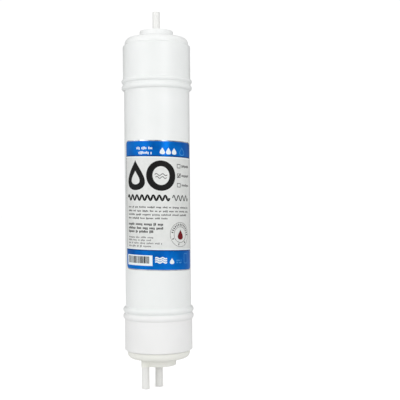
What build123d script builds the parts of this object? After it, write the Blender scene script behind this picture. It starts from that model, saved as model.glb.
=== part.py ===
"""Inline reverse-osmosis water filter with quarter-inch stems.

The housing is a white polypropylene tube. A sleeve is spin-welded to each end
of it and closed by a domed end plate. Feed water enters by the stem on top.
Inside stands a spiral-wound membrane element. Its core tube plugs into the
lower end plate and feeds the permeate stem on the axis, and the rinse water
leaves by the drain stem beside it.

Units are millimetres. +Z points to the inlet, the label faces -Y, and the
origin is on the axis, midway between the stem tips.
"""

import os
from math import atan, degrees

from build123d import *

# Overall
HALF_LENGTH = 159.5

# Housing tube: heights are distances from the middle of the filter
TUBE_R = 27.8
BORE_R = 25.2
BEAD_R = 30.0
GROOVE_R = 28.7
TONGUE_R = 26.5
TONGUE_LENGTH = 6.0
UPPER_BEAD_FOOT_Z = 91.9
UPPER_GROOVE_Z = 96.3
UPPER_SPLIT_Z = 97.9
LOWER_BEAD_FOOT_Z = 90.8
LOWER_GROOVE_Z = 95.8
LOWER_SPLIT_Z = 96.4

# End sleeves: the two ends are slightly different mouldings
SLEEVE_R = 28.7
SEAT_R = 25.9
SEAT_DEPTH = 5.0
UPPER_BEAD_TOP_Z = 101.5
UPPER_SHOULDER_Z = 128.3
UPPER_SEAM_Z = 131.0
LOWER_BEAD_TOP_Z = 101.6
LOWER_SHOULDER_Z = 126.6
LOWER_SEAM_Z = 128.3

# End plates, as distances from the middle of the filter
UPPER_RIM_R = 27.0
UPPER_KNUCKLE_Z = 136.0
UPPER_KNUCKLE_FILLET = 4.85
UPPER_BOSS_FOOT_R = 14.5
UPPER_BOSS_FOOT_Z = 138.5
UPPER_BOSS_R = 14.05
UPPER_BOSS_Z = 142.95
UPPER_WEB_Z = 135.5
UPPER_SEAM_CHAMFER = 0.06
LOWER_RIM_R = 26.6
LOWER_KNUCKLE_Z = 133.8
LOWER_KNUCKLE_FILLET = 4.7
LOWER_BOSS_FOOT_R = 14.9
LOWER_BOSS_FOOT_Z = 136.4
LOWER_BOSS_R = 14.5
LOWER_BOSS_Z = 141.05
LOWER_WEB_Z = 134.2
LOWER_SEAM_CHAMFER = 0.4
PLATE_SKIRT_R = 22.9
PLATE_WEB_R = 14.5
BOSS_FOOT_FILLET = 0.8
BOSS_EDGE_FILLET = 0.5
RIB_COUNT = 6
RIB_THICKNESS = 2.0
RIB_OUTER_R = 21.8
RIB_FIRST_ANGLE = 10.0
UPPER_RIB_INNER_R = 4.5
RIB_OVERLAP = 0.5

# Stems: quarter-inch tube outside, stepped root inside the boss
STEM_R = 3.175
STEM_BORE_R = 2.1
STEM_ROOT_R = 2.9
STEM_ROOT_DEPTH = 4.0
STEM_TIP_FILLET = 0.4
DRAIN_X = -11.3
DRAIN_Y = -9.5
DRAIN_COLLAR_R = 3.65
DRAIN_COLLAR_TOP_Z = 135.0

# Label
LABEL_THICKNESS = 0.15
LABEL_HALF_ANGLE = 72.0
LABEL_TURN = 3.5
LABEL_TOP_Z = 48.3
LABEL_BOTTOM_Z = -59.2
LABEL_CORNER_R = 3.8

# Membrane element
ELEMENT_R = 22.9
ROLL_TOP_Z = 116.0
ROLL_BOTTOM_Z = -106.0
WRAP_THICKNESS = 0.2
CORE_R = 8.6
CORE_BORE_R = 6.0
CORE_TOP_Z = 122.0
CORE_BOTTOM_Z = -133.0
CORE_HOLE_R = 1.5
CORE_HOLE_COUNT = 13
CORE_HOLE_END_GAP = 15.0
PLUG_DEPTH = 10.0
PLUG_FLANGE = 2.0

# Permeate socket and its two squeezed O-rings
SOCKET_R = 8.8
SOCKET_WALL = 2.2
SOCKET_TOP_Z = -113.0
RING_GROOVE_R = 7.1
RING_HEIGHT = 2.0
RING_CORNER = 0.8
RING_GROOVE_HEIGHT = 2.4
RING_LEVELS = (-119.0, -126.0)

# Spoked discs at the element's ends
DISC_HUB_R = 11.0
DISC_RIM_INNER_R = 19.8
DISC_SPOKES = 8
DISC_SPOKE_WIDTH = 2.4
INLET_DISC_TOP_Z = 124.0
INLET_DISC_LAND_R = 22.4
OUTLET_DISC_BOTTOM_Z = -112.0

# Brine seal
SEAL_GROOVE_R = 21.6
SEAL_BOTTOM_Z = 117.6
SEAL_BASE_HEIGHT = 2.2
SEAL_HEIGHT = 5.0
SEAL_LIP = 0.7
SEAL_BASE_OUTER_R = 23.4

# Wound sheets: thickness of each, and the air left between neighbours
CARRIER_THICKNESS = 0.3
MEMBRANE_THICKNESS = 0.2
SPACER_THICKNESS = 0.7
SHEET_GAP = 0.04
CORE_GAP = 0.06
HALF_TURNS = 16
GLUE_WIDTH = 12.0
PITCH = CARRIER_THICKNESS + 2 * MEMBRANE_THICKNESS + SPACER_THICKNESS + 4 * SHEET_GAP
FIRST_SHEET_R = CORE_R + PITCH / 4 + CORE_GAP
MEMBRANE_A_OFFSET = CARRIER_THICKNESS + SHEET_GAP
SPACER_OFFSET = MEMBRANE_A_OFFSET + MEMBRANE_THICKNESS + SHEET_GAP
MEMBRANE_B_OFFSET = SPACER_OFFSET + SPACER_THICKNESS + SHEET_GAP

# How far a cutting body reaches past what it cuts
CUT_MARGIN = 1.0


def turned(outline):
    """Solid of revolution about Z from a closed outline of (radius, height)."""
    return revolve(make_face(Plane.XZ * outline), Axis.Z, 360)


def hoop(inner_r, outer_r, bottom_z, top_z):
    """Plain ring about Z."""
    corners = [(inner_r, bottom_z), (outer_r, bottom_z), (outer_r, top_z), (inner_r, top_z)]
    return turned(Polyline(*corners, close=True))


def rod(radius, bottom_z, top_z, x=0.0, y=0.0):
    """Solid cylinder with its axis along Z."""
    low = (Align.CENTER, Align.CENTER, Align.MIN)
    return Pos(x, y, bottom_z) * Cylinder(radius, top_z - bottom_z, align=low)


def bead_arc(foot_r, foot_z, groove_z):
    """Rounded weld bead between a wall and the groove at the split."""
    crest = (BEAD_R, (foot_z + groove_z) / 2)
    return ThreePointArc((foot_r, foot_z), crest, (GROOVE_R, groove_z))


def housing_tube():
    """Tube with a bead and a tongue for the spin weld at each end."""
    top_z = UPPER_SPLIT_Z + TONGUE_LENGTH
    bottom_z = -LOWER_SPLIT_Z - TONGUE_LENGTH
    outline = Line((TUBE_R, -LOWER_BEAD_FOOT_Z), (TUBE_R, UPPER_BEAD_FOOT_Z))
    outline += bead_arc(TUBE_R, UPPER_BEAD_FOOT_Z, UPPER_GROOVE_Z)
    outline += Polyline(
        (GROOVE_R, UPPER_GROOVE_Z),
        (GROOVE_R, UPPER_SPLIT_Z),
        (TONGUE_R, UPPER_SPLIT_Z),
        (TONGUE_R, top_z),
        (BORE_R, top_z),
        (BORE_R, bottom_z),
        (TONGUE_R, bottom_z),
        (TONGUE_R, -LOWER_SPLIT_Z),
        (GROOVE_R, -LOWER_SPLIT_Z),
        (GROOVE_R, -LOWER_GROOVE_Z),
    )
    outline += bead_arc(TUBE_R, -LOWER_BEAD_FOOT_Z, -LOWER_GROOVE_Z)
    return turned(outline)


def end_sleeve(split_z, bead_top_z, shoulder_z, seam_z, rim_r):
    """Sleeve that carries an end plate, drawn as the upper one."""
    tongue_top_z = split_z + TONGUE_LENGTH
    shoulder = FilletPolyline(
        (SLEEVE_R, bead_top_z),
        (SLEEVE_R, (shoulder_z + seam_z) / 2),
        (rim_r, seam_z),
        radius=(seam_z - shoulder_z) / 2,
    )
    outline = bead_arc(SLEEVE_R, bead_top_z, split_z) + shoulder
    outline += Polyline(
        (rim_r, seam_z),
        (SEAT_R, seam_z),
        (SEAT_R, seam_z - SEAT_DEPTH),
        (BORE_R, seam_z - SEAT_DEPTH),
        (BORE_R, tongue_top_z),
        (TONGUE_R, tongue_top_z),
        (TONGUE_R, split_z),
        (GROOVE_R, split_z),
    )
    return turned(outline)


def upper_sleeve():
    return end_sleeve(UPPER_SPLIT_Z, UPPER_BEAD_TOP_Z, UPPER_SHOULDER_Z, UPPER_SEAM_Z, UPPER_RIM_R)


def lower_sleeve():
    sleeve = end_sleeve(LOWER_SPLIT_Z, LOWER_BEAD_TOP_Z, LOWER_SHOULDER_Z, LOWER_SEAM_Z, LOWER_RIM_R)
    return mirror(sleeve, about=Plane.XY)


def plate_shell(rim_r, seam_z, seam_chamfer, knuckle_z, knuckle_fillet, foot, boss, web_z):
    """Domed plate with a plug that sits in the sleeve, drawn as the upper one."""
    dome = FilletPolyline(
        (rim_r, seam_z + seam_chamfer),
        (rim_r, knuckle_z),
        foot,
        boss,
        (0, boss[1]),
        radius=(knuckle_fillet, BOSS_FOOT_FILLET, BOSS_EDGE_FILLET),
    )
    skirt_z = seam_z - SEAT_DEPTH
    inside = Polyline(
        (0, boss[1]),
        (0, web_z),
        (PLATE_WEB_R, web_z),
        (PLATE_SKIRT_R, web_z - SEAT_DEPTH),
        (PLATE_SKIRT_R, skirt_z),
        (SEAT_R, skirt_z),
        (SEAT_R, seam_z),
        (rim_r - seam_chamfer, seam_z),
        (rim_r, seam_z + seam_chamfer),
    )
    return turned(dome + inside)


def ribs(inner_r, foot_z, web_z):
    """Radial ribs that keep the element off the plate and let water spread."""
    length = RIB_OUTER_R - inner_r
    height = web_z + RIB_OVERLAP - foot_z
    blade = Pos(inner_r + length / 2, 0, foot_z + height / 2) * Box(length, RIB_THICKNESS, height)
    step = 360 / RIB_COUNT
    return [Rot(0, 0, RIB_FIRST_ANGLE + step * i) * blade for i in range(RIB_COUNT)]


def stem_socket(boss_z, web_z, x=0.0, y=0.0):
    """Hole for a stem's root and the narrower water way behind it."""
    return [
        rod(STEM_ROOT_R, boss_z - STEM_ROOT_DEPTH, boss_z, x, y),
        rod(STEM_BORE_R, web_z, boss_z, x, y),
    ]


def upper_end_plate():
    plate = plate_shell(
        UPPER_RIM_R,
        UPPER_SEAM_Z,
        UPPER_SEAM_CHAMFER,
        UPPER_KNUCKLE_Z,
        UPPER_KNUCKLE_FILLET,
        (UPPER_BOSS_FOOT_R, UPPER_BOSS_FOOT_Z),
        (UPPER_BOSS_R, UPPER_BOSS_Z),
        UPPER_WEB_Z,
    )
    plate += ribs(UPPER_RIB_INNER_R, INLET_DISC_TOP_Z, UPPER_WEB_Z)
    return plate - stem_socket(UPPER_BOSS_Z, UPPER_WEB_Z)


def lower_end_plate():
    """Plate with the permeate socket inside and a collar for the drain stem."""
    plate = plate_shell(
        LOWER_RIM_R,
        LOWER_SEAM_Z,
        LOWER_SEAM_CHAMFER,
        LOWER_KNUCKLE_Z,
        LOWER_KNUCKLE_FILLET,
        (LOWER_BOSS_FOOT_R, LOWER_BOSS_FOOT_Z),
        (LOWER_BOSS_R, LOWER_BOSS_Z),
        LOWER_WEB_Z,
    )
    plate += rod(DRAIN_COLLAR_R, DRAIN_COLLAR_TOP_Z, LOWER_BOSS_Z, DRAIN_X, DRAIN_Y)
    plate += hoop(SOCKET_R, SOCKET_R + SOCKET_WALL, -SOCKET_TOP_Z, LOWER_WEB_Z)
    plate += ribs(SOCKET_R + SOCKET_WALL / 2, -OUTLET_DISC_BOTTOM_Z, LOWER_WEB_Z)
    plate -= stem_socket(LOWER_BOSS_Z, LOWER_WEB_Z)
    plate -= stem_socket(LOWER_BOSS_Z, LOWER_WEB_Z, DRAIN_X, DRAIN_Y)
    return mirror(plate, about=Plane.XY)


def stem(root_z, boss_z, tip_z, x=0.0, y=0.0):
    """Quarter-inch stem with a stepped root and a rounded tip, drawn pointing up."""
    tube = rod(STEM_R, boss_z, tip_z)
    tube = fillet(tube.edges().sort_by(Axis.Z)[-1], STEM_TIP_FILLET)
    tube += rod(STEM_ROOT_R, root_z, boss_z)
    return Pos(x, y, 0) * (tube - rod(STEM_BORE_R, root_z, tip_z))


def inlet_stem():
    return stem(UPPER_BOSS_Z - STEM_ROOT_DEPTH, UPPER_BOSS_Z, HALF_LENGTH)


def outlet_stem(x, y):
    tube = stem(LOWER_BOSS_Z - STEM_ROOT_DEPTH, LOWER_BOSS_Z, HALF_LENGTH, x, y)
    return mirror(tube, about=Plane.XY)


def label_corner(side, level):
    """Waste outside one rounded corner, cut square to the tube where the corner is."""
    turn = side * (LABEL_HALF_ANGLE - degrees(atan(LABEL_CORNER_R / TUBE_R)))
    up = 1 if level == LABEL_TOP_Z else -1
    size = LABEL_CORNER_R + CUT_MARGIN
    waste = Pos(side * size / 2, up * size / 2) * Rectangle(size, size) - Circle(LABEL_CORNER_R)
    height = level - up * LABEL_CORNER_R
    place = Rot(0, 0, turn) * Plane.XZ.location * Pos(0, height, TUBE_R)
    return extrude(place * waste, CUT_MARGIN, both=True)


def label():
    """Film label with rounded corners, wrapped on the front of the tube."""
    section = Polyline(
        (TUBE_R, LABEL_BOTTOM_Z),
        (TUBE_R + LABEL_THICKNESS, LABEL_BOTTOM_Z),
        (TUBE_R + LABEL_THICKNESS, LABEL_TOP_Z),
        (TUBE_R, LABEL_TOP_Z),
        close=True,
    )
    film = revolve(make_face(Plane.XZ * section), Axis.Z, 2 * LABEL_HALF_ANGLE)
    film = Rot(0, 0, -90 - LABEL_HALF_ANGLE) * film
    film -= [label_corner(side, z) for side in (-1, 1) for z in (LABEL_BOTTOM_Z, LABEL_TOP_Z)]
    return Rot(0, 0, LABEL_TURN) * film


def core_tube():
    """Permeate tube with cross holes under the roll and two O-ring grooves."""
    tube = hoop(CORE_BORE_R, CORE_R, CORE_BOTTOM_Z, CORE_TOP_Z)
    grooves = []
    for level in RING_LEVELS:
        half = RING_GROOVE_HEIGHT / 2
        grooves.append(hoop(RING_GROOVE_R, CORE_R + CUT_MARGIN, level - half, level + half))
    first = ROLL_BOTTOM_Z + CORE_HOLE_END_GAP
    span = ROLL_TOP_Z - CORE_HOLE_END_GAP - first
    holes = []
    for i in range(CORE_HOLE_COUNT):
        level = first + span * i / (CORE_HOLE_COUNT - 1)
        turn = 90 * (i % 2)
        drill = Cylinder(CORE_HOLE_R, 2 * (CORE_R + CUT_MARGIN))
        holes.append(Pos(0, 0, level) * Rot(90, 0, turn) * drill)
    return tube - grooves - holes


def core_plug():
    """Plug that closes the core tube at the inlet end."""
    shank = rod(CORE_BORE_R, CORE_TOP_Z - PLUG_DEPTH, CORE_TOP_Z)
    return shank + rod(CORE_R, CORE_TOP_Z, CORE_TOP_Z + PLUG_FLANGE)


def o_ring(level):
    """O-ring squeezed flat between its groove and the permeate socket."""
    center = ((RING_GROOVE_R + SOCKET_R) / 2, level)
    section = Pos(*center) * RectangleRounded(SOCKET_R - RING_GROOVE_R, RING_HEIGHT, RING_CORNER)
    return revolve(Plane.XZ * section, Axis.Z, 360)


def spoked_disc(bottom_z, top_z):
    """Disc that stops the roll from telescoping, open between its spokes."""
    disc = hoop(CORE_R, DISC_HUB_R, bottom_z, top_z)
    disc += hoop(DISC_RIM_INNER_R, ELEMENT_R, bottom_z, top_z)
    inner = (CORE_R + DISC_HUB_R) / 2
    outer = (DISC_RIM_INNER_R + ELEMENT_R) / 2
    height = top_z - bottom_z
    place = Pos((inner + outer) / 2, 0, bottom_z + height / 2)
    spoke = place * Box(outer - inner, DISC_SPOKE_WIDTH, height)
    step = 360 / DISC_SPOKES
    return disc + [Rot(0, 0, step * i) * spoke for i in range(DISC_SPOKES)]


def inlet_disc():
    """Spoked disc with the groove that holds the brine seal."""
    disc = spoked_disc(ROLL_TOP_Z, INLET_DISC_TOP_Z)
    groove_top_z = SEAL_BOTTOM_Z + SEAL_BASE_HEIGHT
    disc -= hoop(SEAL_GROOVE_R, ELEMENT_R + CUT_MARGIN, SEAL_BOTTOM_Z, groove_top_z)
    return disc - hoop(INLET_DISC_LAND_R, ELEMENT_R + CUT_MARGIN, groove_top_z, INLET_DISC_TOP_Z)


def outlet_disc():
    return spoked_disc(OUTLET_DISC_BOTTOM_Z, ROLL_BOTTOM_Z)


def brine_seal():
    """Cup seal whose lip presses on the housing's bore, open towards the inlet."""
    base_top_z = SEAL_BOTTOM_Z + SEAL_BASE_HEIGHT
    lip_top_z = SEAL_BOTTOM_Z + SEAL_HEIGHT
    outline = Polyline(
        (SEAL_GROOVE_R, SEAL_BOTTOM_Z),
        (SEAL_BASE_OUTER_R, SEAL_BOTTOM_Z),
        (BORE_R, lip_top_z - SEAL_LIP),
        (BORE_R, lip_top_z),
        (BORE_R - SEAL_LIP, lip_top_z),
        (SEAL_BASE_OUTER_R - SEAL_LIP, base_top_z),
        (SEAL_GROOVE_R, base_top_z),
        close=True,
    )
    return turned(outline)


def wound_face(inner_offset, thickness):
    """Flat spiral strip made of half circles about two centres."""
    radius = FIRST_SHEET_R + inner_offset
    edges = []
    for side in (0, thickness):
        for i in range(HALF_TURNS):
            up = 1 - 2 * (i % 2)
            middle = -up * PITCH / 4
            r = radius + side + i * PITCH / 2
            edges.append(ThreePointArc((middle + up * r, 0), (middle, up * r), (middle - up * r, 0)))
    inner_start = radius - PITCH / 4
    outer_start = inner_start + HALF_TURNS * PITCH / 2
    edges.append(Line((inner_start, 0), (inner_start + thickness, 0)))
    edges.append(Line((outer_start, 0), (outer_start + thickness, 0)))
    return make_face(edges)


def wound_sheet(face, bottom_z, top_z):
    return extrude(Pos(0, 0, bottom_z) * face, top_z - bottom_z)


def permeate_carrier():
    """Knit sheet that leads the permeate round to the core tube."""
    face = wound_face(0, CARRIER_THICKNESS)
    return wound_sheet(face, ROLL_BOTTOM_Z + GLUE_WIDTH, ROLL_TOP_Z - GLUE_WIDTH)


def leaf_glue():
    """Glue lines that close the permeate side along both ends of the roll."""
    face = wound_face(0, CARRIER_THICKNESS)
    lower = wound_sheet(face, ROLL_BOTTOM_Z, ROLL_BOTTOM_Z + GLUE_WIDTH)
    upper = wound_sheet(face, ROLL_TOP_Z - GLUE_WIDTH, ROLL_TOP_Z)
    return Compound([lower, upper])


def membrane_leaf():
    """One membrane sheet, folded at the core tube round the feed spacer."""
    first = wound_face(MEMBRANE_A_OFFSET, MEMBRANE_THICKNESS)
    second = wound_face(MEMBRANE_B_OFFSET, MEMBRANE_THICKNESS)
    fold_outer_r = (MEMBRANE_B_OFFSET + MEMBRANE_THICKNESS - MEMBRANE_A_OFFSET) / 2
    fold_x = FIRST_SHEET_R - PITCH / 4 + MEMBRANE_A_OFFSET + fold_outer_r
    fold = Circle(fold_outer_r) - Circle(fold_outer_r - MEMBRANE_THICKNESS)
    fold -= Pos(0, fold_outer_r) * Rectangle(3 * fold_outer_r, 2 * fold_outer_r)
    return wound_sheet(first + second + Pos(fold_x, 0) * fold, ROLL_BOTTOM_Z, ROLL_TOP_Z)


def feed_spacer():
    """Net that holds the feed channel open inside the folded leaf."""
    return wound_sheet(wound_face(SPACER_OFFSET, SPACER_THICKNESS), ROLL_BOTTOM_Z, ROLL_TOP_Z)


def outer_wrap():
    return hoop(ELEMENT_R - WRAP_THICKNESS, ELEMENT_R, ROLL_BOTTOM_Z, ROLL_TOP_Z)


PARTS = {
    "housing_tube": housing_tube(),
    "upper_sleeve": upper_sleeve(),
    "lower_sleeve": lower_sleeve(),
    "upper_end_plate": upper_end_plate(),
    "lower_end_plate": lower_end_plate(),
    "inlet_stem": inlet_stem(),
    "permeate_stem": outlet_stem(0, 0),
    "drain_stem": outlet_stem(DRAIN_X, DRAIN_Y),
    "label": label(),
    "core_tube": core_tube(),
    "core_plug": core_plug(),
    "upper_o_ring": o_ring(RING_LEVELS[0]),
    "lower_o_ring": o_ring(RING_LEVELS[1]),
    "inlet_disc": inlet_disc(),
    "outlet_disc": outlet_disc(),
    "brine_seal": brine_seal(),
    "permeate_carrier": permeate_carrier(),
    "leaf_glue": leaf_glue(),
    "membrane_leaf": membrane_leaf(),
    "feed_spacer": feed_spacer(),
    "outer_wrap": outer_wrap(),
}

os.makedirs("parts", exist_ok=True)
for name, shape in PARTS.items():
    export_step(shape, f"parts/{name}.step")
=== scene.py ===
"""Looks of the inline water filter: camera, studio, materials and the printed label."""

import math
import random

import bmesh
import bpy
from mathutils import Matrix, Vector
from mathutils.geometry import delaunay_2d_cdt


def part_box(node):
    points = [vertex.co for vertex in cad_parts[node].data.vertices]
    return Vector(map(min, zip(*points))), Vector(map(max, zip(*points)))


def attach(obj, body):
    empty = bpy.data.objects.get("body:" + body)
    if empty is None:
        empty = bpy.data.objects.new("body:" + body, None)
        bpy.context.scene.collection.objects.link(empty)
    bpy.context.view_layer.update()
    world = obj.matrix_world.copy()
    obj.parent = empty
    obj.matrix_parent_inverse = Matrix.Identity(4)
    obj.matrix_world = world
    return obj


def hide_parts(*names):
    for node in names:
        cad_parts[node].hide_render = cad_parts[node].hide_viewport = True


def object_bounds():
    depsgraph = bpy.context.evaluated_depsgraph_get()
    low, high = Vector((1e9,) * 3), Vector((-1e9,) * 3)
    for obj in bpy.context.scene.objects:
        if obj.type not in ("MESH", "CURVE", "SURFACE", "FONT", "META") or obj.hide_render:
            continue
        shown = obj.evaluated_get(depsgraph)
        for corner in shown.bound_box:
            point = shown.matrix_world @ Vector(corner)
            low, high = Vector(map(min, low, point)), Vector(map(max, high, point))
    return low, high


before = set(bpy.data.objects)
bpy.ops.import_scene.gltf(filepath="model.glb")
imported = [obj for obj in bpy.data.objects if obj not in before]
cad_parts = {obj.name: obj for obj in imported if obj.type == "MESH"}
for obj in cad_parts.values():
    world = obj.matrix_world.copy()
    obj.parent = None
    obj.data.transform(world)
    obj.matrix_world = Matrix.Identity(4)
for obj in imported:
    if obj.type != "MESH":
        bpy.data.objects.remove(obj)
CAD_LOW, CAD_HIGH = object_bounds()
MM = 0.001

# ---------------------------------------------------------------- camera

# The camera stands in front of the label, near the filter's middle height.
# Its turns are in degrees.
CAMERA_DISTANCE = 738.7 * MM
CAMERA_HEIGHT = -4.4 * MM
CAMERA_YAW = 2.804
CAMERA_PITCH = 0.25
CAMERA_ROLL = -0.49
LENS = 77.8
SENSOR_WIDTH = 36.0
CLIP_START = 0.01
CLIP_END = 50.0


def make_camera():
    data = bpy.data.cameras.new("camera")
    data.lens = LENS
    data.sensor_width = SENSOR_WIDTH
    data.clip_start = CLIP_START
    data.clip_end = CLIP_END
    camera = bpy.data.objects.new("camera", data)
    bpy.context.scene.collection.objects.link(camera)
    yaw = Matrix.Rotation(math.radians(-CAMERA_YAW), 4, "Z")
    pitch = Matrix.Rotation(math.radians(90 + CAMERA_PITCH), 4, "X")
    roll = Matrix.Rotation(math.radians(CAMERA_ROLL), 4, "Z")
    place = Matrix.Translation((0, -CAMERA_DISTANCE, CAMERA_HEIGHT))
    camera.matrix_world = place @ yaw @ pitch @ roll
    bpy.context.scene.camera = camera


# ---------------------------------------------------------------- studio

# The camera sees a white world. As light, the world is a soft grey that falls
# to a dark one behind the filter, so that the white plastic shows a thin dark
# outline. DARK_FROM and DARK_FULL are cosines of the angle from straight behind.
WORLD_SEEN = 1.05
AMBIENT = 0.7
AMBIENT_BEHIND = 0.1
DARK_FROM = 0.55
DARK_FULL = 0.8
BEHIND = (0, 1, 0)

FLOOR_GAP = 0.2 * MM
FLOOR_HALF = 12.0
FLOOR_GREY = 0.85
FLOOR_ROUGHNESS = 0.9
FLOOR_SPECULAR = 0.1
FLOOR_GLOW = 0.5
FLOOR_LIGHT = 0.0

# Softboxes: name, azimuth, elevation, width, height and power. Azimuth 0 is in
# front of the label, 90 on its right.
LIGHT_DISTANCE = 1.1
LIGHTS = (
    ("key_left", -47, 21, 0.62, 0.8, 2.2),
    ("fill_left", -80, 15, 0.36, 0.8, 0.5),
    ("key_right", 28, 21, 0.42, 0.8, 2.7),
    ("top", 0, 65, 0.5, 0.6, 0.6),
)


def softbox(name, azimuth, elevation, width, height, power):
    """Rectangular lamp that faces the filter."""
    data = bpy.data.lights.new(name, "AREA")
    data.shape = "RECTANGLE"
    data.size = width
    data.size_y = height
    data.energy = power
    lamp = bpy.data.objects.new(name, data)
    bpy.context.scene.collection.objects.link(lamp)
    a = math.radians(azimuth)
    e = math.radians(elevation)
    out = Vector((math.sin(a) * math.cos(e), -math.cos(a) * math.cos(e), math.sin(e)))
    turn = out.to_track_quat("Z", "Y").to_matrix().to_4x4()
    lamp.matrix_world = Matrix.Translation(out * LIGHT_DISTANCE) @ turn


def camera_only(tree, shader, bright, dim):
    """Sets a shader's strength to bright where the camera sees it, and to dim for its light.

    It returns the socket of dim.
    """
    path = tree.nodes.new("ShaderNodeLightPath")
    pick = tree.nodes.new("ShaderNodeMapRange")
    pick.inputs["To Min"].default_value = dim
    pick.inputs["To Max"].default_value = bright
    tree.links.new(path.outputs["Is Camera Ray"], pick.inputs["Value"])
    tree.links.new(pick.outputs["Result"], shader.inputs["Strength"])
    return pick.inputs["To Min"]


def darker_behind(tree, socket):
    """Feeds a strength that falls from AMBIENT to AMBIENT_BEHIND behind the filter."""
    direction = tree.nodes.new("ShaderNodeTexCoord").outputs["Generated"]
    cosine = tree.nodes.new("ShaderNodeVectorMath")
    cosine.operation = "DOT_PRODUCT"
    cosine.inputs[1].default_value = BEHIND
    tree.links.new(direction, cosine.inputs[0])
    fall = tree.nodes.new("ShaderNodeMapRange")
    fall.interpolation_type = "SMOOTHSTEP"
    fall.inputs["From Min"].default_value = DARK_FROM
    fall.inputs["From Max"].default_value = DARK_FULL
    fall.inputs["To Min"].default_value = AMBIENT
    fall.inputs["To Max"].default_value = AMBIENT_BEHIND
    tree.links.new(cosine.outputs["Value"], fall.inputs["Value"])
    tree.links.new(fall.outputs["Result"], socket)


def make_world():
    world = bpy.data.worlds.new("studio")
    world.use_nodes = True
    bpy.context.scene.world = world
    tree = world.node_tree
    background = tree.nodes["Background"]
    background.inputs["Color"].default_value = (1, 1, 1, 1)
    darker_behind(tree, camera_only(tree, background, WORLD_SEEN, AMBIENT))


def make_floor():
    mesh = bpy.data.meshes.new("floor")
    z = CAD_LOW.z - FLOOR_GAP
    h = FLOOR_HALF
    mesh.from_pydata([(-h, -h, z), (h, -h, z), (h, h, z), (-h, h, z)], [], [(0, 1, 2, 3)])
    floor = bpy.data.objects.new("floor", mesh)
    bpy.context.scene.collection.objects.link(floor)
    material = bpy.data.materials.new("floor_white")
    material.use_nodes = True
    tree = material.node_tree
    shader = tree.nodes["Principled BSDF"]
    shader.inputs["Base Color"].default_value = (FLOOR_GREY, FLOOR_GREY, FLOOR_GREY, 1)
    shader.inputs["Roughness"].default_value = FLOOR_ROUGHNESS
    shader.inputs["Specular IOR Level"].default_value = FLOOR_SPECULAR
    glow = tree.nodes.new("ShaderNodeEmission")
    both = tree.nodes.new("ShaderNodeAddShader")
    camera_only(tree, glow, FLOOR_GLOW, FLOOR_LIGHT)
    tree.links.new(shader.outputs["BSDF"], both.inputs[0])
    tree.links.new(glow.outputs["Emission"], both.inputs[1])
    tree.links.new(both.outputs["Shader"], tree.nodes["Material Output"].inputs["Surface"])
    mesh.materials.append(material)


def make_studio():
    bpy.context.scene.view_settings.view_transform = "Standard"
    make_world()
    make_floor()
    for light in LIGHTS:
        softbox(*light)


# ---------------------------------------------------------------- materials

# Most of a noise's values lie between the low and the high one.
NOISE_DETAIL = 2.0
NOISE_LOW = 0.3
NOISE_HIGH = 0.7

# Patches, streaks and grain are scales of noise, so more is finer.
PLAIN_PATCH = 40.0
STREAKS_PER_PATCH = 4
PLAIN_GRAIN = 900.0
PLAIN_DEPTH = 0.004 * MM


def noise(tree, coordinates, scale):
    node = tree.nodes.new("ShaderNodeTexNoise")
    node.inputs["Scale"].default_value = scale
    node.inputs["Detail"].default_value = NOISE_DETAIL
    tree.links.new(coordinates, node.inputs["Vector"])
    return node.outputs["Fac"]


def ranged(tree, value, low, high):
    """Spreads a noise over the range from low to high."""
    node = tree.nodes.new("ShaderNodeMapRange")
    node.inputs["From Min"].default_value = NOISE_LOW
    node.inputs["From Max"].default_value = NOISE_HIGH
    node.inputs["To Min"].default_value = low
    node.inputs["To Max"].default_value = high
    tree.links.new(value, node.inputs["Value"])
    return node.outputs["Result"]


def two_tone(tree, value, first, second):
    """Mixes two colours by a noise."""
    node = tree.nodes.new("ShaderNodeMix")
    node.data_type = "RGBA"
    node.inputs["A"].default_value = (*first, 1)
    node.inputs["B"].default_value = (*second, 1)
    tree.links.new(ranged(tree, value, 0, 1), node.inputs["Factor"])
    return node.outputs["Result"]


def bump(tree, value, depth):
    node = tree.nodes.new("ShaderNodeBump")
    node.inputs["Distance"].default_value = depth
    tree.links.new(value, node.inputs["Height"])
    return node.outputs["Normal"]


def surface(
    name, first, second, roughness, patch=PLAIN_PATCH, grain=PLAIN_GRAIN, depth=PLAIN_DEPTH, **sockets
):
    """Material with cloudy colour, streaky roughness and a fine grain in its bump.

    The sockets are further inputs of the shader, with _ for each space.
    """
    material = bpy.data.materials.new(name)
    material.use_nodes = True
    tree = material.node_tree
    shader = tree.nodes["Principled BSDF"]
    place = tree.nodes.new("ShaderNodeTexCoord").outputs["Object"]
    clouds = noise(tree, place, patch)
    tree.links.new(two_tone(tree, clouds, first, second), shader.inputs["Base Color"])
    streaks = noise(tree, place, patch * STREAKS_PER_PATCH)
    tree.links.new(ranged(tree, streaks, *roughness), shader.inputs["Roughness"])
    tree.links.new(bump(tree, noise(tree, place, grain), depth), shader.inputs["Normal"])
    for socket, value in sockets.items():
        shader.inputs[socket.replace("_", " ")].default_value = value
    return material


def dress(material, *nodes):
    """Gives CAD nodes their material."""
    for node in nodes:
        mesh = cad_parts[node].data
        mesh.materials.clear()
        mesh.materials.append(material)


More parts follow.
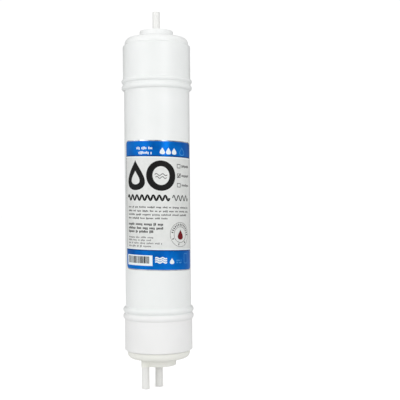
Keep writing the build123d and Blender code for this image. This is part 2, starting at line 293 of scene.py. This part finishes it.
def dress_housing():
    white = surface("white_pp", (0.84, 0.86, 0.85), (0.87, 0.885, 0.88), (0.33, 0.42))
    lower = surface("white_lower", (0.865, 0.865, 0.86), (0.89, 0.89, 0.885), (0.33, 0.42))
    plate = surface("white_plate", (0.87, 0.885, 0.875), (0.89, 0.90, 0.895), (0.35, 0.45))
    cream = surface("cream_plate", (0.88, 0.88, 0.82), (0.91, 0.91, 0.86), (0.38, 0.5))
    stem = surface("natural_stem", (0.84, 0.84, 0.82), (0.87, 0.87, 0.85), (0.3, 0.4))
    dress(white, "housing_tube", "upper_sleeve")
    dress(lower, "lower_sleeve")
    dress(plate, "upper_end_plate")
    dress(cream, "lower_end_plate")
    dress(stem, "inlet_stem", "permeate_stem", "drain_stem")


def dress_inside():
    knitted = {"grain": 2500.0, "depth": 0.05 * MM}
    netted = {"grain": 1200.0, "depth": 0.1 * MM}
    core = surface("core_abs", (0.70, 0.72, 0.72), (0.76, 0.77, 0.77), (0.45, 0.55))
    rubber = surface("seal_rubber", (0.012, 0.012, 0.012), (0.02, 0.02, 0.02), (0.5, 0.65))
    tape = surface("wrap_tape", (0.72, 0.74, 0.76), (0.80, 0.82, 0.84), (0.2, 0.3))
    glue = surface("leaf_glue", (0.42, 0.28, 0.09), (0.52, 0.38, 0.14), (0.25, 0.35))
    film = surface("membrane", (0.74, 0.72, 0.64), (0.80, 0.78, 0.71), (0.35, 0.5))
    knit = surface("carrier_knit", (0.80, 0.80, 0.77), (0.86, 0.86, 0.83), (0.8, 0.9), **knitted)
    net = surface("spacer_net", (0.70, 0.75, 0.77), (0.80, 0.84, 0.86), (0.4, 0.5), **netted)
    dress(core, "core_tube", "core_plug", "inlet_disc", "outlet_disc")
    dress(rubber, "upper_o_ring", "lower_o_ring", "brine_seal")
    dress(tape, "outer_wrap")
    dress(glue, "leaf_glue")
    dress(film, "membrane_leaf")
    dress(knit, "permeate_carrier")
    dress(net, "feed_spacer")


# ---------------------------------------------------------------- label
#
# The label is a printed film. Its artwork is a list of flat outlines in
# millimetres, (across, up), painted in order. They are cut into one mosaic of
# triangles, which is wrapped round the tube as a closed film.

FILM_LOW, FILM_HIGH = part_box("label")
FILM_TOP = FILM_HIGH.z / MM
FILM_BOTTOM = FILM_LOW.z / MM
FILM_OUTER_R = 27.95
FILM_INNER_R = 27.81
LEFT_ANGLE = -68.5
RIGHT_ANGLE = 75.5
FILM_LEFT = math.radians(LEFT_ANGLE) * FILM_OUTER_R
FILM_RIGHT = math.radians(RIGHT_ANGLE) * FILM_OUTER_R
CORNER_R = 3.8

# The film sinks by CROOKED for each millimetre to the right.
CROOKED = 0.027

# Width of the strips that make the film round, and the sharp edges' least angle.
STRIP = 1.0
SHARP = 0.5

# What delaunay_2d_cdt asks for: which triangles it keeps, and how near to each
# other two points are one.
CUT_INSIDE = 1
SAME_POINT = 1e-5

# Foil shows along the film's edge, by EDGE at the top and the bottom and by
# SIDE_EDGE at the sides. A thin dark grey line runs along each side of the field.
EDGE = 0.8
SIDE_EDGE = 0.3
INK_LEFT = FILM_LEFT + SIDE_EDGE
INK_RIGHT = FILM_RIGHT - SIDE_EDGE
FIELD_LINE = 0.7

# The blue bands end in a navy and a white line.
TOP_BAND_END = 34.8
BOTTOM_BAND_END = -42.1
BAND_LINE = 0.9

# Shape of a water drop: how fast it narrows to its point, and the factor that
# gives it its full width.
DROP_POINT = 1.6
DROP_WIDTH = 1.45

# Blocks of make-believe text: some rise or hang as letters do. Widths are
# parts of a letter's step, heights are parts of the line's height.
RISES = (1.0, 1.0, 1.0, 1.35)
HANGS = (0.0, 0.0, 0.0, 0.3)
BLOCK_WIDTH = 0.72
WORD_GAP = 1.1
WORD_BLOCKS = (2, 8)

# Small print: ink, left end, height and letter's step, then the foot and the
# right end of each line.
PRINT = (
    ("grey_ink", -29.0, 1.0, 1.05, ((-7.6, 31.0), (-10.8, 31.0), (-13.8, 30.5), (-16.8, 9.0))),
    ("black_ink", -29.2, 1.5, 1.15, ((-22.0, 5.1), (-25.2, 5.1), (-28.1, -2.0))),
    ("pale_ink", -29.0, 1.0, 1.0, ((-32.6, -2.9), (-34.9, -4.5), (-37.3, 3.7), (-39.8, -5.0))),
)

BIG_DROP_U = -20.0
RING_U = 3.0
RING_Z = 19.1

BOX_ROWS = (27.4, 19.5, 11.6)
BOX_LEFT = 17.2
BOX_RIGHT = 21.0
BOX_HALF = 1.75
BOX_LINE = 0.55
BOX_WORD_LEFT = 22.4
BOX_WORD_RIGHT = 33.0
BOX_WORD_FOOT = 0.8
BOX_WORD_BLOCKS = (8, 8)
TICK = ((17.9, 19.5), (18.5, 20.0), (19.0, 19.1), (20.9, 21.6), (21.4, 21.2), (19.1, 18.2))

# The seal's marks: all of them where the sine of their angle is MARKS_FULL or
# more, and below that one in MARKS_KEPT.
SEAL_U = 20.4
SEAL_Z = -29.3
SEAL_RINGS = (("grey_ink", 10.2), ("field", 9.9), ("grey_ink", 6.7), ("field", 6.35))
MARKS = 28
MARKS_FULL = 0.15
MARKS_KEPT = 4
MARK_INNER_R = 7.4
MARK_OUTER_R = 9.1
MARK_HALF = 0.42

# The bars of the bar code, and how far they stay from their field's edges.
BAR_WIDTHS = (0.5, 0.6, 0.9, 1.2)
BAR_GAPS = (0.3, 0.5, 0.6)
BARS_LEFT = 1.6
BARS_RIGHT = 2.4
BARS_FOOT = 1.9
BARS_TOP = 0.9

# Top band: the left end and the foot of its two lines of text, and its drops.
BAND_WORDS_RIGHT = -3.5
BAND_WORDS = ((-18.5, 40.7), (-16.5, 36.9))
BAND_DROPS = (4.2, 9.4, 14.6)

# Bottom band: the heights of the small waves and the feet of two lines of print.
BAND_WAVES = (-48.8, -50.5, -52.2)
BAND_PRINT = (-51.0, -52.9)

SEED_TOP_BAND = 3
SEED_BARS = 5
SEED_PRINT = 7
SEED_BOXES = 11
SEED_BOTTOM_BAND = 13


def rectangle(left, bottom, right, top):
    return [(left, bottom), (right, bottom), (right, top), (left, top)]


def rounded(left, bottom, right, top, radius, steps=6):
    """Rectangle with round corners."""
    outline = []
    middles = [(right - radius, top - radius), (left + radius, top - radius)]
    middles += [(left + radius, bottom + radius), (right - radius, bottom + radius)]
    for quarter, (u, z) in enumerate(middles):
        for i in range(steps + 1):
            a = math.pi / 2 * (quarter + i / steps)
            outline.append((u + radius * math.cos(a), z + radius * math.sin(a)))
    return outline


def ellipse(u, z, half_width, half_height, steps=48):
    turns = [2 * math.pi * i / steps for i in range(steps)]
    return [(u + half_width * math.cos(a), z + half_height * math.sin(a)) for a in turns]


def droplet(u, z, half_width, height, steps=40):
    """Water drop that stands on z, with its point on top."""
    outline = []
    for i in range(steps):
        a = 2 * math.pi * i / steps
        side = math.sin(a) * math.sin(a / 2) ** DROP_POINT * DROP_WIDTH
        outline.append((u + half_width * side, z + height * (1 + math.cos(a)) / 2))
    return outline


def wave(left, right, middle, swing, period, stroke, steps=12):
    """Sine line of even width, as a closed outline. The steps are those of one period."""
    count = round((right - left) / period * steps)
    upper = []
    lower = []
    for i in range(count + 1):
        u = left + (right - left) * i / count
        a = 2 * math.pi * (u - left) / period
        slope = swing * 2 * math.pi / period * math.cos(a)
        size = math.hypot(1, slope)
        z = middle + swing * math.sin(a)
        offset = (slope / size * stroke / 2, -stroke / size / 2)
        upper.append((u - offset[0], z - offset[1]))
        lower.append((u + offset[0], z + offset[1]))
    return lower + upper[::-1]


def word_bars(dice, ink, left, right, z, height, letter, blocks=WORD_BLOCKS):
    """One line of make-believe text on z: blocks of uneven height, grouped as words."""
    shapes = []
    u = left
    while u < right - letter:
        for _ in range(dice.randint(*blocks)):
            if u + letter > right:
                break
            top = z + height * dice.choice(RISES)
            foot = z - height * dice.choice(HANGS)
            shapes.append((ink, rectangle(u, foot, u + letter * BLOCK_WIDTH, top)))
            u += letter
        u += letter * WORD_GAP
    return shapes


def text_blocks():
    """The lines of small print, all illegible."""
    dice = random.Random(SEED_PRINT)
    shapes = []
    for ink, left, height, letter, lines in PRINT:
        for z, right in lines:
            shapes += word_bars(dice, ink, left, right, z, height, letter)
    return shapes


def big_signs():
    """A thick water drop, a thick ring round two small waves, and two wave lines below them."""
    return [
        ("black_ink", droplet(BIG_DROP_U, 6.8, 9.4, 25.1)),
        ("field", droplet(BIG_DROP_U, 11.6, 4.4, 11.4)),
        ("black_ink", ellipse(RING_U, RING_Z, 12.5, 12.5, 72)),
        ("field", ellipse(RING_U, RING_Z, 7.1, 7.7, 60)),
        ("grey_ink", wave(-2.2, 8.2, 19.9, 0.8, 5.2, 0.6)),
        ("grey_ink", wave(-1.6, 7.6, 17.6, 0.8, 4.6, 0.6)),
        ("black_ink", wave(-29.5, 10.0, 0.75, 2.0, 4.94, 1.7)),
        ("black_ink", wave(12.8, 31.0, 0.95, 2.2, 4.55, 0.85)),
    ]


def check_boxes():
    """Three boxes, one of them ticked, with a bar of small print beside each."""
    dice = random.Random(SEED_BOXES)
    left = BOX_LEFT + BOX_LINE
    right = BOX_RIGHT - BOX_LINE
    half = BOX_HALF - BOX_LINE
    shapes = []
    for z in BOX_ROWS:
        shapes.append(("grey_ink", rectangle(BOX_LEFT, z - BOX_HALF, BOX_RIGHT, z + BOX_HALF)))
        shapes.append(("field", rectangle(left, z - half, right, z + half)))
        foot = z - BOX_WORD_FOOT
        shapes += word_bars(
            dice, "grey_ink", BOX_WORD_LEFT, BOX_WORD_RIGHT, foot, 1.5, 1.3, BOX_WORD_BLOCKS
        )
    return shapes + [("black_ink", list(TICK))]


def seal_mark(turn):
    """Block between the seal's rings, at an angle round its middle."""
    along = (math.cos(turn), math.sin(turn))
    across = (-MARK_HALF * along[1], MARK_HALF * along[0])
    inner = (SEAL_U + MARK_INNER_R * along[0], SEAL_Z + MARK_INNER_R * along[1])
    outer = (SEAL_U + MARK_OUTER_R * along[0], SEAL_Z + MARK_OUTER_R * along[1])
    return [
        (inner[0] - across[0], inner[1] - across[1]),
        (outer[0] - across[0], outer[1] - across[1]),
        (outer[0] + across[0], outer[1] + across[1]),
        (inner[0] + across[0], inner[1] + across[1]),
    ]


def seal():
    """Plain round seal: two thin rings, marks between them and a red drop."""
    shapes = [(ink, ellipse(SEAL_U, SEAL_Z, radius, radius)) for ink, radius in SEAL_RINGS]
    for i in range(MARKS):
        turn = 2 * math.pi * i / MARKS
        if math.sin(turn) >= MARKS_FULL or i % MARKS_KEPT == 0:
            shapes.append(("black_ink", seal_mark(turn)))
    return shapes + [("red_ink", droplet(SEAL_U, SEAL_Z - 4.2, 2.9, 8.4))]


def top_band():
    """Two lines that end the band, two lines of text, three drops and the outline of a fourth."""
    dice = random.Random(SEED_TOP_BAND)
    end = TOP_BAND_END
    shapes = [
        ("white_ink", rectangle(INK_LEFT, end - BAND_LINE, INK_RIGHT, end)),
        ("navy_ink", rectangle(INK_LEFT, end, INK_RIGHT, end + BAND_LINE)),
    ]
    for left, z in BAND_WORDS:
        shapes += word_bars(dice, "white_ink", left, BAND_WORDS_RIGHT, z, 1.5, 1.2)
    for u in BAND_DROPS:
        shapes.append(("white_ink", droplet(u, 36.7, 2.2, 5.6)))
    shapes.append(("sky_ink", droplet(22.9, 36.3, 2.9, 7.0)))
    shapes.append(("blue_ink", droplet(22.9, 36.9, 2.3, 5.6)))
    return shapes


def bar_code(left, bottom, right, top):
    """White field with upright bars and no digits."""
    dice = random.Random(SEED_BARS)
    shapes = [("white_ink", rectangle(left, bottom, right, top))]
    u = left + BARS_LEFT
    while u < right - BARS_RIGHT:
        width = dice.choice(BAR_WIDTHS)
        shapes.append(("black_ink", rectangle(u, bottom + BARS_FOOT, u + width, top - BARS_TOP)))
        u += width + dice.choice(BAR_GAPS)
    return shapes


def bottom_band():
    """Two lines that end the band, the bar code, waves, a drop, small print and an open panel."""
    dice = random.Random(SEED_BOTTOM_BAND)
    end = BOTTOM_BAND_END
    shapes = [
        ("white_ink", rectangle(INK_LEFT, end, INK_RIGHT, end + BAND_LINE)),
        ("navy_ink", rectangle(INK_LEFT, end - BAND_LINE, INK_RIGHT, end)),
    ]
    shapes += bar_code(-30.7, -55.3, -4.7, -46.7)
    for z in BAND_WAVES:
        shapes.append(("white_ink", wave(-2.4, 7.4, z, 0.5, 4.9, 1.1)))
    shapes.append(("white_ink", droplet(11.8, -53.6, 2.0, 5.0)))
    for z in BAND_PRINT:
        shapes += word_bars(dice, "sky_ink", 16.0, 21.5, z, 0.9, 0.9)
    shapes.append(("sky_ink", rounded(24.4, -53.2, 29.4, -45.0, 0.8)))
    shapes.append(("blue_ink", rounded(24.8, -52.8, 29.0, -45.4, 0.6)))
    return shapes


def ground():
    """Foil at the very edge, blue inside it, and the pale field between the two bands."""
    low = BOTTOM_BAND_END
    high = TOP_BAND_END
    blue = rounded(INK_LEFT, FILM_BOTTOM + EDGE, INK_RIGHT, FILM_TOP - EDGE, CORNER_R - EDGE)
    return [
        # Foil edge: its patches of dark navy and near white are a painted reflection of dark surroundings
        # and softboxes
        ("foil_and_painted_reflection", rounded(FILM_LEFT, FILM_BOTTOM, FILM_RIGHT, FILM_TOP, CORNER_R)),
        ("blue_ink", blue),
        # A thin dark grey line along each side of the field, under the field's edge
        ("field_side_grey", rectangle(INK_LEFT, low, INK_RIGHT, high)),
        ("field", rectangle(INK_LEFT + FIELD_LINE, low, INK_RIGHT - FIELD_LINE, high)),
    ]


def artwork():
    """All shapes as pairs of an ink and an outline. The first one is the whole film."""
    shapes = []
    for part in (ground, top_band, bottom_band, big_signs, check_boxes, text_blocks, seal):
        shapes += part()
    return shapes


def counterclockwise(outline):
    area = sum(a[0] * b[1] - a[1] * b[0] for a, b in zip(outline, outline[1:] + outline[:1]))
    return outline if area > 0 else outline[::-1]


def mosaic(shapes):
    """Cuts the artwork into tiles, each with the number of the shape on top."""
    points = []
    faces = []
    for _, outline in shapes:
        faces.append(list(range(len(points), len(points) + len(outline))))
        points += counterclockwise(outline)
    lines = []
    for i in range(math.ceil(FILM_LEFT / STRIP), math.floor(FILM_RIGHT / STRIP) + 1):
        lines.append((len(points), len(points) + 1))
        points += [(i * STRIP, FILM_BOTTOM), (i * STRIP, FILM_TOP)]
    flat = [Vector(p) for p in points]
    cut = delaunay_2d_cdt(flat, lines, faces, CUT_INSIDE, SAME_POINT)
    cut_points, _, cut_faces, _, _, sources = cut
    tiles = []
    for corners, numbers in zip(cut_faces, sources):
        if 0 in numbers:
            tiles.append((corners, max(numbers)))
    return cut_points, tiles


def wrapped(point, radius):
    """Point of the flat artwork on the tube, in metres. The label sits slightly crooked."""
    a = point[0] / FILM_OUTER_R
    z = point[1] - CROOKED * point[0]
    return (radius * math.sin(a) * MM, -radius * math.cos(a) * MM, z * MM)


def make_label(inks):
    """Closed film: printed outside, plain inside, with a rim all round."""
    shapes = artwork()
    points, tiles = mosaic(shapes)
    names = list(inks)
    plain = names.index("back")
    build = bmesh.new()
    outer = [build.verts.new(wrapped(p, FILM_OUTER_R)) for p in points]
    inner = [build.verts.new(wrapped(p, FILM_INNER_R)) for p in points]
    sides = {}
    for corners, top in tiles:
        front = build.faces.new([outer[i] for i in corners])
        front.material_index = names.index(shapes[top][0])
        back = build.faces.new([inner[i] for i in reversed(corners)])
        back.material_index = plain
        sides.update(dict.fromkeys(zip(corners, corners[1:] + corners[:1])))
    # A side that no other tile runs the other way lies on the film's outline.
    for start, end in sides:
        if (end, start) not in sides:
            rim = build.faces.new([outer[end], outer[start], inner[start], inner[end]])
            rim.material_index = plain
    loose = [v for v in build.verts if not v.link_faces]
    bmesh.ops.delete(build, geom=loose, context="VERTS")
    bmesh.ops.recalc_face_normals(build, faces=build.faces)
    for face in build.faces:
        face.smooth = True
    for edge in build.edges:
        edge.smooth = edge.calc_face_angle(0) < SHARP
    mesh = bpy.data.meshes.new("label_film")
    build.to_mesh(mesh)
    build.free()
    for ink in inks.values():
        mesh.materials.append(ink)
    film = bpy.data.objects.new("label_film", mesh)
    bpy.context.scene.collection.objects.link(film)
    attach(film, "root")
    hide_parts("label")


def make_inks():
    """The label's materials by name. The bands' blues and the foil are metallic."""
    gloss = {"Specular_IOR_Level": 0.07}
    dull = {"Specular_IOR_Level": 0.08}
    metal = {"Metallic": 0.75, "Specular_IOR_Level": 0.1}
    blue = {"patch": 60.0, **metal}
    field = {"patch": 300.0, "Metallic": 0.2}
    # The foil's colour swings in patches from dark navy to near white: real foil with a painted reflection
    # in its colour
    foil_and_painted_reflection = {"patch": 75.0, "Metallic": 1.0}
    return {
        "field": surface("label_field", (0.72, 0.735, 0.715), (0.77, 0.78, 0.765), (0.5, 0.6), **field),
        "blue_ink": surface("blue_ink", (0.001, 0.10, 0.44), (0.002, 0.20, 0.72), (0.3, 0.4), **blue),
        "navy_ink": surface("navy_ink", (0.002, 0.05, 0.22), (0.003, 0.07, 0.28), (0.28, 0.35), **metal),
        "sky_ink": surface("sky_ink", (0.06, 0.28, 0.66), (0.08, 0.33, 0.70), (0.28, 0.35), **gloss),
        "white_ink": surface("white_ink", (0.80, 0.86, 0.88), (0.84, 0.89, 0.90), (0.3, 0.4), **gloss),
        "black_ink": surface("black_ink", (0.008, 0.008, 0.008), (0.013, 0.013, 0.013), (0.4, 0.5), **dull),
        "grey_ink": surface("grey_ink", (0.07, 0.07, 0.07), (0.10, 0.10, 0.10), (0.4, 0.5), **dull),
        "pale_ink": surface("pale_ink", (0.18, 0.18, 0.18), (0.24, 0.24, 0.24), (0.4, 0.5), **dull),
        "field_side_grey": surface("field_side_grey", (0.22, 0.23, 0.23), (0.30, 0.31, 0.31), (0.3, 0.4), **dull),
        "red_ink": surface("red_ink", (0.13, 0.008, 0.012), (0.18, 0.012, 0.018), (0.35, 0.45), **dull),
        "foil_and_painted_reflection": surface("label_foil_and_painted_reflection", (0.05, 0.09, 0.18), (0.95, 0.97, 0.98), (0.12, 0.2), **foil_and_painted_reflection),
        "back": surface("label_back", (0.70, 0.71, 0.70), (0.76, 0.77, 0.76), (0.4, 0.5)),
    }


make_camera()
make_studio()
dress_housing()
dress_inside()
make_label(make_inks())
